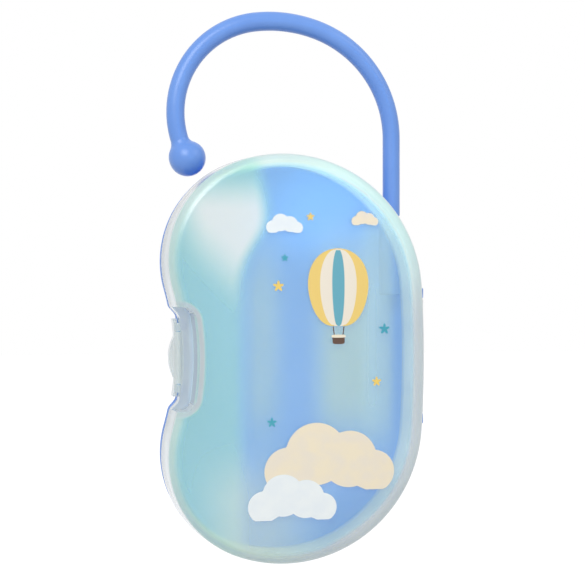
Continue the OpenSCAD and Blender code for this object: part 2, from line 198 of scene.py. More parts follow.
def lie(points):
    """The reverse of hang: a frame place in metres, back to the lying case in millimetres."""
    x, y, z = np.moveaxis(np.asarray(points, float), -1, 0) / MM
    return np.stack((x + saddle[0], z + saddle[1], -y - hook_back), -1)


print("the top of the case hangs at", hang((-top_in, case_h / 2, 0)).round(4), "in the frame")

# %% [markdown]
# ## The camera
# The photograph was taken level with the case and a little from its left, from about half
# a metre away. The camera comes before the pieces, because what it shows decides how fine
# they have to be.

# %% Camera
view_side = math.radians(-11)
view_far = 500
photo_px = 585
focal_px = 1594
sensor = 36
picture_middle = (1.13, 20.1, 0)
aim = hang(picture_middle)

camera_data = bpy.data.cameras.new("camera")
camera_data.sensor_width = sensor
camera_data.lens = focal_px / photo_px * sensor
camera = bpy.data.objects.new("camera", camera_data)
back = Vector((math.sin(view_side), -math.cos(view_side), 0))
camera.location = Vector(aim) + back * view_far * MM
camera.rotation_mode = "QUATERNION"
camera.rotation_quaternion = (-back).to_track_quat("-Z", "Y")
bpy.context.scene.collection.objects.link(camera)
bpy.context.scene.camera = camera
print("lens:", round(camera_data.lens, 1), "mm")

# %% [markdown]
# ## Skins
# A moulded shell is a stack of rings: the same outline, moved in and up as the wall turns.
# Each ring is a row of a grid, and the last row and the first close in a pole. A grid is
# computed as one array, which keeps the mesh even and the shading smooth.

# %% Rings into a closed mesh
def ring_faces(rows, count):
    """Quads between ring i and ring i + 1, with the last point of a ring joined to its first."""
    i, j = np.meshgrid(np.arange(rows - 1), np.arange(count), indexing="ij")
    a, b = i * count + j, i * count + (j + 1) % count
    return np.stack((a, b, b + count, a + count), -1).reshape(-1, 4)


def skin_mesh(name, rings, first, last):
    """A closed mesh through rings (rows, points, 3), with a fan to the pole before and after them."""
    rows, count, _ = rings.shape
    j = np.arange(count)
    k = (j + 1) % count
    low, high = rows * count, rows * count + 1
    bottom = np.stack((np.full(count, low), k, j), -1)
    top = np.stack((np.full(count, high), (rows - 1) * count + j, (rows - 1) * count + k), -1)
    points = np.concatenate((rings.reshape(-1, 3), [first, last]))
    faces = ring_faces(rows, count).tolist() + bottom.tolist() + top.tolist()
    mesh = bpy.data.meshes.new(name)
    mesh.from_pydata(hang(points).tolist(), [], faces)
    return mesh


print("two rings of four points have", len(ring_faces(2, 4)), "quads between them")

# %% A mesh into a piece
def place(name, mesh):
    """Puts a mesh into the scene as an object at the origin."""
    piece = bpy.data.objects.new(name, mesh)
    bpy.context.scene.collection.objects.link(piece)
    return piece


def smooth(piece, crease=35):
    """Shades a piece smooth, but keeps edges sharp where faces meet at more than crease degrees."""
    piece.data.shade_smooth()
    piece.data.set_sharp_from_angle(angle=math.radians(crease))
    return piece


def combine(piece, tool, how):
    """Cuts, joins or trims a piece with a closed tool mesh, and drops the tool."""
    modifier = piece.modifiers.new(how, "BOOLEAN")
    modifier.operation = how
    modifier.object = tool
    modifier.solver = "MANIFOLD"
    depsgraph = bpy.context.evaluated_depsgraph_get()
    mesh = bpy.data.meshes.new_from_object(piece.evaluated_get(depsgraph))
    piece.modifiers.clear()
    piece.data = mesh
    bpy.data.objects.remove(tool)
    return piece


def cut(piece, *tools):
    """Takes closed tool meshes out of a piece, one after another."""
    for tool in tools:
        combine(piece, tool, "DIFFERENCE")


def join(piece, *tools):
    """Adds closed tool meshes to a piece, one after another."""
    for tool in tools:
        combine(piece, tool, "UNION")


# %% [markdown]
# ## Profiles
# A shell's section is drawn once, as rows of how far in, how high, and how much of the
# latch's seat it has there. Every turn of the section is an arc, and the face is a cap of
# shrinking outlines that swells in the middle.

# %% Turns, walls and caps
def bend(middle_d, middle_z, r, first, last, count, fade=0):
    """A turn of a wall, as rows of inset, height and seat: (d + r cos a, z + r sin a, (cos a)^fade)."""
    a = np.radians(np.linspace(first, last, count))
    return np.stack((middle_d + r * np.cos(a), middle_z + r * np.sin(a), np.cos(a)**fade), -1)


def wall(profile):
    """Rings for a profile: each row of inset, height and seat is the outline at that inset and height."""
    inset, height, seat = np.asarray(profile, float).T
    flat = outline(inset, seat)
    return np.concatenate((flat, np.broadcast_to(height[:, None, None], flat.shape[:2] + (1,))), -1)


def cap(inset, height, swell, count):
    """Rings over a swelling front, from near its middle outwards.

    p = f * outline, z = height + swell * (1 - f^2)
    """
    f = np.sqrt(np.linspace(0, 1, count + 1)[1:-1])[:, None]
    edge = outline(inset, 0)
    z = np.broadcast_to(height + swell * (1 - f * f), (len(f), len(edge)))
    return np.concatenate((f[..., None] * edge, z[..., None]), -1)


print("a quarter turn of 3 mm, as inset and height:", bend(3, 0, 3, 90, 180, 3)[:, :2].round(2).tolist())

# %% [markdown]
# ## Tools for holes and knuckles
# Cylinders along the case's height make the knuckles, the lugs and their bores. They are
# the same ring-by-ring skins, with a small rounded edge at both ends where they show.

# %% Turned shapes and round bars
def turned(name, x, z, ys, rs, sides=40):
    """Any turned shape on an axis along y, closed at both ends: rings (x + r cos b, y, z + r sin b)."""
    b = -np.linspace(0, turn, sides, endpoint=False)
    ys, rs = (np.asarray(v, float)[:, None] for v in (ys, rs))
    rings = np.stack((x + rs * np.cos(b), np.repeat(ys, sides, 1), z + rs * np.sin(b)), -1)
    return place(name, skin_mesh(name, rings, (x, ys[0, 0], z), (x, ys[-1, 0], z)))


def bar(name, x, z, y0, y1, d, edge=0.0):
    """A round bar from y0 to y1, with both ends rounded by edge: r = d / 2 - edge + edge sin q."""
    q = np.linspace(0, math.pi / 2, 5) if edge else np.array([math.pi / 2])
    r_end = d / 2 - edge + edge * np.sin(q)
    y_end = edge * (1 - np.cos(q))
    ys = np.concatenate((y0 + y_end, (y1 - y_end)[::-1]))
    return turned(name, x, z, ys, np.concatenate((r_end, r_end[::-1])))


# %% Boxes and plates
def prism(name, plan, z0, z1):
    """A convex plan (points, 2), counter-clockwise, raised from z0 to z1."""
    rings = np.stack([np.column_stack((plan, np.full(len(plan), z))) for z in (z0, z1)])
    x, y = plan.mean(0)
    return place(name, skin_mesh(name, rings, (x, y, z0), (x, y, z1)))


def block(name, low, high):
    """A box from its low to its high corner."""
    (x0, y0, z0), (x1, y1, z1) = low, high
    return prism(name, np.array([(x0, y0), (x1, y0), (x1, y1), (x0, y1)], float), z0, z1)


# %% [markdown]
# ## The rear shell
# A plain bowl with a big radius, closed by a flat back. Its rim is rounded a little, since
# no mould leaves a knife edge. The socket for the hook's stem stands inside, against the
# wall, and is cut off by the wall's own middle surface, so nothing of it shows outside.

# %% Driving sizes of the hinges and the socket
hinge_out = 0.9
hinge_pitch = 30
knuckle_d = 4.6
knuckle_len = 6
ear_len = 3.2
hinge_pin_d = 1.8
hinge_head_d = 3
hinge_head_t = 0.8
socket_d = 7.8
socket_len = 20
socket_floor = 1.4
stem_d = 4.6
stem_fit = 0.06
stem_gap = 0.3
snap_d = 3.9
snap_h = 1
snap_up = 2.2
snap_gap = 0.15
slit_w = 1
slit_depth = 5
notch_gap = 0.35
pin_fit = 0.05
rim_round = 0.35
knuckle_round = 0.35
socket_round = 0.6

hinge_x = case_w / 2 + hinge_out
hinge_z = seam / 2
ear_y = knuckle_len / 2 + end_gap
hinge_half = ear_y + ear_len
hinges = (-hinge_pitch / 2, hinge_pitch / 2)
shoulder_y = corner_y + math.sqrt(corner_r**2 - (stem_x + top_in)**2)
socket_low = shoulder_y - socket_len
bore_low = socket_low + socket_floor
snap_y = bore_low + snap_up
stem_low = bore_low + stem_gap
rod_low = corner_y + math.sqrt((corner_r + stem_gap)**2 - (stem_x - rod_d / 2 + top_in)**2)
print("the hook's stem stands from", round(stem_low, 2), "to", round(rod_low, 2), "mm up the case")

# %% The bowl
def bowl_side(inward, rim):
    """The bowl's side and back radius at a depth inside its wall, from the back up to the rim."""
    side_z = -(rear_depth - rear_bowl_r)
    turned_in = bend(rear_draft + rear_bowl_r, side_z, inward - rear_bowl_r, 90, 0, 26, fade=4)
    return np.concatenate((turned_in, rim))


def bowl_flat(inward):
    """Rings over the flat back, from its middle to where the radius begins."""
    return cap(rear_draft + rear_bowl_r, inward - rear_depth, 0, 10)


def rear_bowl(name):
    """Outside from the back's middle up, over the rounded rim, and down the inside."""
    outer_rim = bend(rim_round, -rim_round, -rim_round, 0, -90, 6)
    inner_rim = bend(rear_wall - rim_round, -rim_round, rim_round, 90, 0, 6)
    outside = bowl_side(0, outer_rim)
    inside = bowl_side(rear_wall, inner_rim[::-1])[::-1]
    sides = wall(np.concatenate((outside, inside)))
    rings = np.concatenate((bowl_flat(0), sides, bowl_flat(rear_wall)[::-1]))
    return place(name, skin_mesh(name, rings, (0, 0, -rear_depth), (0, 0, rear_wall - rear_depth)))


def rear_block(name):
    """The filled shape inside the middle of the bowl's wall."""
    half_wall = rear_wall / 2
    rings = np.concatenate((bowl_flat(half_wall), wall(bowl_side(half_wall, [(half_wall, 0, 1)]))))
    return place(name, skin_mesh(name, rings, (0, 0, half_wall - rear_depth), (0, 0, 0)))


rear = rear_bowl("rear_shell_look")
socket = bar("socket", stem_x, -hook_back, socket_low, rod_low, socket_d, socket_round)
join(rear, combine(socket, rear_block("inside"), "INTERSECT"))
print("bowl with its socket:", len(rear.data.polygons), "faces")

# %% Ears for the hinges
def hinge_bar(name, y0, y1, d, edge=0.0):
    """A round bar on the hinge axis."""
    return bar(name, hinge_x, hinge_z, y0, y1, d, edge)


def knuckle(piece, y0, y1, z0, z1):
    """Adds a rounded knuckle on the hinge axis, and the root that ties it to the side."""
    reach = side_x + math.sqrt(side_r**2 - (hinge_pitch / 2 + hinge_half)**2) - rear_wall / 2
    join(piece, hinge_bar("knuckle", y0, y1, knuckle_d, knuckle_round),
         block("root", (reach, y0 + knuckle_round, z0), (hinge_x, y1 - knuckle_round, z1)))


for y in hinges:
    for y0 in (y + ear_y, y - hinge_half):
        knuckle(rear, y0, y0 + ear_len, hinge_z - knuckle_d / 2, -rim_round / 2)
for y in hinges:
    cut(rear, hinge_bar("notch", y - ear_y, y + ear_y, knuckle_d + 2 * notch_gap),
        hinge_bar("head", y + hinge_half, y + hinge_half + hinge_head_t + end_gap,
                  hinge_head_d + 2 * notch_gap),
        hinge_bar("bore", y - 2 * hinge_half, y + 2 * hinge_half, hinge_pin_d))
print("with its ears:", len(rear.data.polygons), "faces")

# %% Bore for the stem, with a ridge that snaps into the stem's groove
bore_r = stem_d / 2 + stem_fit
ridge_r = snap_d / 2
cut(rear, turned("bore", stem_x, -hook_back,
                 (bore_low, snap_y, snap_y, snap_y + snap_h, snap_y + snap_h, rod_low),
                 (bore_r, bore_r, ridge_r, ridge_r, bore_r, bore_r)))
print("with its bore:", len(rear.data.polygons), "faces")

# %% Pocket for the latch's nib
seat_x = waist_cx + waist_r + seat_in
latch_drop = 4.4
latch_gap = 0.2
nib_len = 12
nib_h = 1
nib_reach = 0.8

nib_z = nib_h - latch_drop
pocket_half = nib_len / 2 + notch_gap
cut(rear, block("pocket", (seat_x - rear_wall, -pocket_half, nib_z - nib_h - notch_gap),
                (seat_x + nib_reach + latch_gap, pocket_half, nib_z + notch_gap)))
smooth(rear)
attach(rear, "case")
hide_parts("rear_shell")
print("rear shell:", len(rear.data.polygons), "faces")

# %% [markdown]
# ## The clear front
# The cover is a deep tray with a small edge radius and a gently swelling face. Its side
# carries a lip that reaches into the rear shell. At the waist a thumb-wide recess is let
# into the side and the face, with a wall and a floor of its own behind it. The recess is a
# plan that is raised and cut, because both the wall and the cut come from that plan.

# %% Driving sizes of the cover's recess, latch and lip
edge_a = 84
latch_t = 1.2
latch_pivot = 2.6
latch_barrel_d = 2.8
latch_barrel_len = 16
lug_len = 2.4
latch_pin_d = 1.3
recess_in = 5.4
recess_len = 31.5
recess_floor = 5.2
recess_corner_r = 4
lip_out = rear_wall + lip_gap
lip_in = lip_out + lip_t
edge_z = cover_depth - cover_crown - cover_edge_r
print("the front edge begins", round(edge_z, 2), "mm out, and the lip lies", lip_out, "to", lip_in, "mm in")

# %% The cover's section
def cover_edge(inward):
    """The cover's front edge at a depth inside its wall, from the face down to the side."""
    return bend(cover_draft + cover_edge_r, edge_z, cover_edge_r - inward, 180 - edge_a, 180, 16, fade=4)


def cover_face(inward):
    """Rings over the swelling face, from its middle to where the edge begins."""
    inset, height, _ = cover_edge(inward)[0]
    return cap(inset, height, cover_crown, 26), height + cover_crown


def cover_dome(name):
    """Inside from the face's middle down over the lip, then up the outside to the face again."""
    lip_round = lip_t / 3
    under = [*bend(lip_in - lip_round, lip_round - lip_h, lip_round, 0, -90, 5),
             *bend(lip_out + lip_round, lip_round - lip_h, lip_round, -90, -180, 5)]
    inside = [*cover_edge(cover_wall), (cover_wall, lip_root + lip_fade, 1), (lip_in, lip_root, 1), *under]
    rim = bend(rim_round, seam + rim_round, -rim_round, 90, 0, 5)
    outside = [(lip_out, seam, 1), *rim, *cover_edge(0)[::-1]]
    inner_face, inner_top = cover_face(cover_wall)
    outer_face, outer_top = cover_face(0)
    rings = np.concatenate((inner_face, wall(inside + outside), outer_face[::-1]))
    return place(name, skin_mesh(name, rings, (0, 0, inner_top), (0, 0, outer_top)))


def cover_block(name):
    """The cover's outside, filled."""
    outer_face, outer_top = cover_face(0)
    rings = np.concatenate((wall([(0, seam, 1), *cover_edge(0)[::-1]]), outer_face[::-1]))
    return place(name, skin_mesh(name, rings, (0, 0, seam), (0, 0, outer_top)))


# %% The recess
def recess_plan(extra):
    """The recess from the front: straight ends, round inner corners, an inner side along the waist."""
    r = waist_r + recess_in + extra
    half = recess_len / 2 + extra
    corner = recess_corner_r + extra
    far = waist_cx + math.sqrt((r - corner)**2 - (half - corner)**2)
    meet = math.atan2(half - corner, far - waist_cx)
    a = np.linspace(-math.pi / 2, -meet, 10)
    low = np.stack((far + corner * np.cos(a), corner - half + corner * np.sin(a)), -1)
    a = np.linspace(-meet, meet, 40)[1:-1]
    inner = np.stack((waist_cx + r * np.cos(a), r * np.sin(a)), -1)
    left = -case_w / 2 - recess_in
    return np.concatenate(([(left, -half)], low, inner, low[::-1] * (1, -1), [(left, half)]))


clear_of_face = cover_depth + 2
cover = cover_dome("front_cover_look")
liner = prism("liner", recess_plan(cover_wall), recess_floor - cover_wall, clear_of_face)
join(cover, combine(liner, cover_block("inside"), "INTERSECT"))
cut(cover, prism("recess", recess_plan(0), recess_floor, clear_of_face))
print("cover with its recess:", len(cover.data.polygons), "faces")

# %% The cover's knuckles and lugs
barrel_x = seat_x - latch_gap - latch_t / 2
barrel_r = latch_barrel_d / 2
lug_y = latch_barrel_len / 2 + end_gap
lug_round = 0.2
root_x = barrel_x + latch_gap + latch_t / 2 + cover_wall

for y in hinges:
    knuckle(cover, y - knuckle_len / 2, y + knuckle_len / 2, seam + rim_round / 2, hinge_z + knuckle_d / 2)
for y0 in (lug_y, -lug_y - lug_len):
    root = block("root", (barrel_x, y0, latch_pivot - barrel_r),
                 (root_x, y0 + lug_len, latch_pivot + barrel_r))
    lug = bar("lug", barrel_x, latch_pivot, y0, y0 + lug_len, latch_barrel_d, lug_round)
    join(cover, combine(lug, root, "UNION"))
print("cover with its knuckles and lugs:", len(cover.data.polygons), "faces")

# %% Room for the ears, the latch's barrel and both pins
ear_room = ear_len + 2 * end_gap + hinge_head_t
bore_d = hinge_pin_d + 2 * pin_fit
past_lug = lug_y + lug_len + 1
for y in hinges:
    cut(cover, hinge_bar("bore", y - hinge_half, y + hinge_half, bore_d))
    for y0 in (y + knuckle_len / 2, y - hinge_half - end_gap - hinge_head_t):
        cut(cover, hinge_bar("notch", y0, y0 + ear_room, knuckle_d + 2 * notch_gap))
cut(cover, bar("notch", barrel_x, latch_pivot, -lug_y, lug_y, latch_barrel_d + 2 * notch_gap),
    bar("bore", barrel_x, latch_pivot, -past_lug, past_lug, latch_pin_d))
smooth(cover)
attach(cover, "cover")
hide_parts("front_cover")
print("cover:", len(cover.data.polygons), "faces")

# %% [markdown]
# ## The hook
# The hook could be a curve with a round bevel, but its thickness changes: thin at the
# stem, thickest at the crown, and swelling into the ball. So it is a list of stations
# along its path, each with a middle, a direction and a radius, and every station becomes
# a ring square to the path. The ball leaves the neck by a fillet, as the mould has it.

# %% Stations on the stem and the bends
def ease(start, end, f):
    """From start to end without a kink: start + (end - start) (1 - cos(pi f)) / 2."""
    return start + (end - start) * (1 - np.cos(np.pi * f)) / 2


def up_stem(heights, radii):
    """Stations on the stem's axis: (x, y, direction out of the bend, radius)."""
    ys, rs = np.asarray(heights, float), np.asarray(radii, float)
    return np.stack((np.full(len(ys), float(stem_x)), ys, np.zeros(len(ys)), rs), -1)


def round_bend(middle, r, first, last, d0, d1, count):
    """Stations on an arc, whose diameter eases from d0 to d1."""
    f = np.linspace(0, 1, count, endpoint=False)
    a = first + (last - first) * f
    return np.stack((middle[0] + r * np.cos(a), middle[1] + r * np.sin(a), a, ease(d0, d1, f) / 2), -1)


shoulder_d = float(ease(rod_d, crown_d, shoulder_a / (np.pi / 2)))
print("the rod is", rod_d, "mm at the stem,", round(shoulder_d, 2), "at the shoulder and",
      crown_d, "at the crown")

# %% Stations on the ball
fillet_r = 3.0
neck_r = neck_d / 2
ball_r = ball_d / 2
flare = math.sqrt((ball_r + fillet_r)**2 - (neck_r + fillet_r)**2)
turn_in = math.asin(flare / (ball_r + fillet_r))


def ball_stations():
    """The ball out of its fillet, at distances t along the path from the ball's middle.

    On the ball r = sqrt(ball_r^2 - t^2), and before it
    r = neck_r + fillet_r - sqrt(fillet_r^2 - (t + flare)^2).
    """
    b = np.linspace(0, turn_in, 12, endpoint=False)
    fillet_t, fillet = -flare + fillet_r * np.sin(b), neck_r + fillet_r * (1 - np.cos(b))
    b = np.linspace(-turn_in, np.pi / 2, 40)[:-1]
    t = np.append(fillet_t, ball_r * np.sin(b))
    r = np.append(fillet, ball_r * np.cos(b))
    a = tip_a + np.minimum(t, 0) / tip_r
    on = np.maximum(t, 0)
    x = tip_c[0] + tip_r * np.cos(a) - on * math.sin(tip_a)
    y = tip_c[1] + tip_r * np.sin(a) + on * math.cos(tip_a)
    return np.stack((x, y, a, r), -1)


print("the fillet begins", round(flare, 2), "mm before the ball's middle")

# %% All stations, from the stem's foot to the ball
neck_a = tip_a - flare / tip_r
top_a = math.pi / 2
groove_low, groove_high = snap_y - snap_gap, snap_y + snap_h + snap_gap
stem_r, groove_r, chamfer = stem_d / 2, snap_d / 2 - stem_fit, 0.4
stem_heights = (stem_low, stem_low + chamfer, groove_low, groove_low,
                groove_high, groove_high, rod_low, rod_low + chamfer)
stem_radii = (stem_r - chamfer, stem_r, stem_r, groove_r, groove_r, stem_r, stem_r, rod_d / 2)
straight = np.linspace(rod_low + 2 * chamfer, shoulder_c[1], 12, endpoint=False)
stations = np.concatenate((
    up_stem(stem_heights, stem_radii),
    up_stem(straight, np.full(len(straight), rod_d / 2)),
    round_bend(shoulder_c, shoulder_r, 0, shoulder_a, rod_d, shoulder_d, 40),
    round_bend(crown_c, crown_r, shoulder_a, top_a, shoulder_d, crown_d, 14),
    round_bend(crown_c, crown_r, top_a, crown_end, crown_d, crown_d, 3),
    round_bend(tip_c, tip_r, crown_end, neck_a, crown_d, neck_d, 50),
    ball_stations(),
))
print("hook stations:", len(stations))

# %% Rings into the hook
rod_sides = 48


def rod_rings(stations):
    """Rings square to the path: p = middle + r cos b * (cos a, sin a, 0) + r sin b * (0, 0, 1)."""
    x, y, a, r = (v[:, None] for v in stations.T)
    b = -np.linspace(0, turn, rod_sides, endpoint=False)
    out = r * np.cos(b)
    return np.stack((x + out * np.cos(a), y + out * np.sin(a), -hook_back + r * np.sin(b)), -1)


stem_foot = (stem_x, stem_low, -hook_back)
ball_end = (*(ball_c + ball_r * heading_of(tip_a + math.pi / 2)), -hook_back)
hook = place("carry_hook_look", skin_mesh("carry_hook_look", rod_rings(stations), stem_foot, ball_end))
cut(hook, block("slit", (stem_x - slit_w / 2, stem_low - 1, -hook_back - stem_d),
                (stem_x + slit_w / 2, stem_low + slit_depth, -hook_back + stem_d)))
smooth(hook)
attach(hook, "hook")
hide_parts("carry_hook")
print("hook:", len(hook.data.polygons), "faces")

# %% [markdown]
# ## The latch
# The latch plate is small and its shape is already right, but its edges are as sharp as
# the solid's. A copy is merged, so that its faces share their corners, and then a bevel
# takes the sharpness off.

# %% Latch plate
def softened(name, node, width):
    """A copy of a node's mesh with its doubles merged and its edges bevelled by width millimetres."""
    same_place = 0.001 * MM
    same_plane = math.radians(1)
    work = bmesh.new()
    work.from_mesh(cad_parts[node].data)
    bmesh.ops.remove_doubles(work, verts=work.verts, dist=same_place)
    bmesh.ops.dissolve_limit(work, angle_limit=same_plane, verts=work.verts, edges=work.edges)
    mesh = bpy.data.meshes.new(name)
    work.to_mesh(mesh)
    work.free()
    piece = place(name, mesh)
    modifier = piece.modifiers.new("edges", "BEVEL")
    modifier.width = width * MM
    modifier.segments = 3
    modifier.limit_method = "ANGLE"
    modifier.angle_limit = math.radians(40)
    return piece


latch = softened("latch_flap_look", "latch_flap", 0.25)
smooth(latch)
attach(latch, "latch")
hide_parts("latch_flap")
print("latch plate:", len(latch.data.polygons), "faces before its edges are bevelled")

# %% [markdown]
# ## Shader sums
# A finish is a network of nodes, and its arithmetic is easier to read as a formula. One
# small class wraps a socket and gives it the signs of arithmetic, so that 1 - mask adds a
# Math node by itself. Every other node comes from one method, which takes the node's type,
# its settings and what goes into its sockets.

# %% A wire with the signs of arithmetic
def either_side(operation):
    """Two methods for one sign: for the wire before the other value, and for the wire after it."""
    return (lambda wire, other: wire.sum_node(operation, wire, other),
            lambda wire, other: wire.sum_node(operation, other, wire))


class Wire:
    """A socket of a finish, with the arithmetic that the formulas below use."""

    __add__, __radd__ = either_side("ADD")
    __sub__, __rsub__ = either_side("SUBTRACT")
    __mul__, __rmul__ = either_side("MULTIPLY")
    __truediv__, __rtruediv__ = either_side("DIVIDE")
    __pow__, __rpow__ = either_side("POWER")

    def __init__(self, finish, socket):
        self.finish = finish
        self.socket = socket

    def __neg__(self):
        """0 - this."""
        return self.sum_node("SUBTRACT", 0, self)

    def sum_node(self, operation, *values):
        """Adds a Math node that takes the values in order."""
        return self.finish.node("ShaderNodeMath", {"operation": operation}, dict(enumerate(values)))

    def at_least(self, floor):
        """The larger of this and floor."""
        return self.sum_node("MAXIMUM", self, floor)

    def absolute(self):
        """This without its sign."""
        return self.sum_node("ABSOLUTE", self)

    def exp(self):
        """e to the power of this."""
        return self.sum_node("EXPONENT", self)


# %% A finish and its nodes
class Finish:
    """A material, or the world, and its nodes."""

    def __init__(self, name, owner=None):
        self.owner = owner or bpy.data.materials.new(name)
        self.owner.use_nodes = True
        self.tree = self.owner.node_tree
        self.tree.nodes.clear()

    def node(self, kind, settings, inputs, out=0):
        """Adds a node: settings, then a number, a colour or a wire for each socket. Gives one output."""
        node = self.tree.nodes.new(kind)
        for key, value in settings.items():
            setattr(node, key, value)
        for key, value in inputs.items():
            if isinstance(value, Wire):
                self.tree.links.new(value.socket, node.inputs[key])
            else:
                node.inputs[key].default_value = value
        return Wire(self, node.outputs[out])

    def blend(self, factor, first, second):
        """A colour between two colours."""
        return self.node("ShaderNodeMix", {"data_type": "RGBA"}, {0: factor, 6: first, 7: second}, 2)

    def step(self, value, start, end):
        """0 before start, 1 after end, and a soft slope between them: 3 t^2 - 2 t^3."""
        return self.node("ShaderNodeMapRange", {"interpolation_type": "SMOOTHSTEP"},
                         {"Value": value, "From Min": start, "From Max": end})

    def between(self, value, start, full, fading, end):
        """1 from full to fading, 0 before start and after end, with soft slopes."""
        return self.step(value, start, full) * self.step(value, end, fading)

    def place(self):
        """Object coordinates, which are the frame's metres."""
        return self.node("ShaderNodeTexCoord", {}, {}, "Object")

    def stored(self, name):
        """A number that the piece's vertices carry."""
        return self.node("ShaderNodeAttribute", {"attribute_name": name}, {}, "Fac")

    def ray(self, kind):
        """1 for a ray of this kind, and 0 for any other."""
        return self.node("ShaderNodeLightPath", {}, {}, f"Is {kind} Ray")

    def noise(self, size, detail=2):
        """Soft random values about 0.5, with lumps of the given size in millimetres."""
        return self.node("ShaderNodeTexNoise", {},
                         {"Vector": self.place(), "Scale": 1 / (size * MM), "Detail": detail})

    def bump(self, height, strength, depth):
        """A normal that follows a height, where depth is the height of 1 in millimetres."""
        return self.node("ShaderNodeBump", {},
                         {"Height": height, "Strength": strength, "Distance": depth * MM})

    def plastic(self, colour, roughness, normal, metallic=0):
        """A Principled shader for moulded plastic."""
        return self.node("ShaderNodeBsdfPrincipled", {},
                         {"Base Color": colour, "Roughness": roughness, "Normal": normal,
                          "Metallic": metallic, "IOR": 1.49})

    def glow(self, colour, strength):
        """A shader that gives light of its own."""
        return self.node("ShaderNodeEmission", {}, {"Color": colour, "Strength": strength})

    def clear(self):
        """A shader that lets all light straight through."""
        return self.node("ShaderNodeBsdfTransparent", {}, {"Color": rgb(1, 1, 1)})

    def through(self, colour, normal):
        """A shader for light that soaks through a wall and comes out on the other side."""
        return self.node("ShaderNodeBsdfTranslucent", {}, {"Color": colour, "Normal": normal})

    def mix_shader(self, factor, first, second):
        """A share of the second shader over the first."""
        return self.node("ShaderNodeMixShader", {}, {0: factor, 1: first, 2: second})

    def use(self, shader, *pieces, output="ShaderNodeOutputMaterial"):
        """Makes the shader the surface, and this the only material on the pieces."""
        last = self.tree.nodes.new(output)
        self.tree.links.new(shader.socket, last.inputs["Surface"])
        for piece in pieces:
            piece.data.materials.clear()
            piece.data.materials.append(self.owner)
        print(self.owner.name, "has", len(self.tree.nodes), "nodes")


def rgb(r, g, b):
    """A colour for a socket: red, green and blue from 0 to 1, and fully solid."""
    return (r, g, b, 1)


print("a finish has these kinds of node:", ", ".join(k for k in vars(Finish) if not k.startswith("_")))

# %% [markdown]
# ## Blue plastic
# The rear shell and the hook are polypropylene, moulded through in one blue. A real
# moulding is never one flat colour: the melt leaves slow clouds of slightly deeper and
# paler blue, and the polished steel leaves a faint waviness that breaks up a reflection.
# Both are noise: a few per cent of colour, some roughness, and a bump of microns. The
# shell's wall also lets some light through, which a share of a translucent shader gives.

# %% Blue finishes
def blue_plastic(name, deep, pale, gloss, wall_light, *pieces):
    """Base = a blend of two near blues by slow noise; roughness = gloss + 0.08 * fine noise; bump by both.

    wall_light is the share of the light that crosses the wall and comes out as a brighter blue.
    """
    finish = Finish(name)
    cloud = finish.noise(14)
    grain = finish.noise(0.5, 3)
    colour = finish.blend(finish.step(cloud, 0.3, 0.7), deep, pale)
    normal = finish.bump(cloud + 0.12 * grain, 0.6, 0.03)
    body = finish.plastic(colour, gloss + 0.08 * grain, normal)
    if wall_light:
        body = finish.mix_shader(wall_light, body, finish.through(rgb(0.26, 0.62, 1.0), normal))
    finish.use(body, *pieces)


pins = [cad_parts[name] for name in ("hinge_pin_upper", "hinge_pin_lower")]
blue_plastic("hook_blue", rgb(0.138, 0.295, 0.725), rgb(0.155, 0.320, 0.755), 0.27, 0, hook)
blue_plastic("shell_blue", rgb(0.160, 0.355, 0.800), rgb(0.178, 0.380, 0.830), 0.36, 0.35, rear)
blue_plastic("pin_blue", rgb(0.150, 0.320, 0.770), rgb(0.168, 0.345, 0.800), 0.3, 0, *pins)

# %% [markdown]
# ## Clear plastic with milk in it
# The front is natural polypropylene: clear where the wall is thin and looked through
# square on, and milky where the light has a long way to go, in the side walls, the front
# edge and the lip. A thin film would do this with Fresnel alone, but the milk needs the
# wall's depth. So each vertex carries how deep in the edge it lies, and the shader turns
# that into an opacity: 1 - exp(-density / cos), the law for haze along a slanting path.

# %% How far each vertex lies inside the outline
def edge_depth(piece):
    """Distance in millimetres from each vertex to the outline, and the vertex on the lying case."""
    mesh = piece.data
    co = np.empty(len(mesh.vertices) * 3)
    mesh.vertices.foreach_get("co", co)
    p = lie(co.reshape(-1, 3)).astype(np.float32)
    rim = outline(0).astype(np.float32)
    away = np.hypot(p[:, None, 0] - rim[None, :, 0], p[:, None, 1] - rim[None, :, 1])
    return away.min(1), p


def note(piece, name, values):
    """Stores one number per vertex under a name that a material can read."""
    field = piece.data.attributes.new(name, "FLOAT", "POINT")
    field.data.foreach_set("value", np.asarray(values, np.float32))


def soft_step(value, start, end):
    """0 before start, 1 after end, and between them 3 t^2 - 2 t^3."""
    t = np.clip((value - start) / (end - start), 0, 1)
    return t * t * (3 - 2 * t)


inset, spot = edge_depth(cover)
across, up, out = spot.T
# the inner skin of the face carries nothing, so that no haze counts twice
inner = (inset > 3.4) & (out < edge_z + cover_crown - cover_wall)
print("the deepest vertex lies", round(float(inset.max()), 1), "mm inside the outline")

# %% Milk in the side walls and the front edge
# on the left the milk grows towards the rim; on the right it lies in the whole radius
right_share = soft_step(across, 5, 25)
left_edge = 0.45 * soft_step(inset, 4.6, 0.6)
right_edge = 0.5 * soft_step(inset, 4.9, 3.4)
front_milk = left_edge * (1 - right_share) + right_edge * right_share
side_milk = soft_step(out, edge_z + 2.4, edge_z - 0.6) * soft_step(inset, 4.6, 3.6)
milk = np.maximum(side_milk, front_milk)
note(cover, "milk", np.where(inner, 0, milk))
print("milky vertices:", int((milk > 0.5).sum()), "of", len(inset))
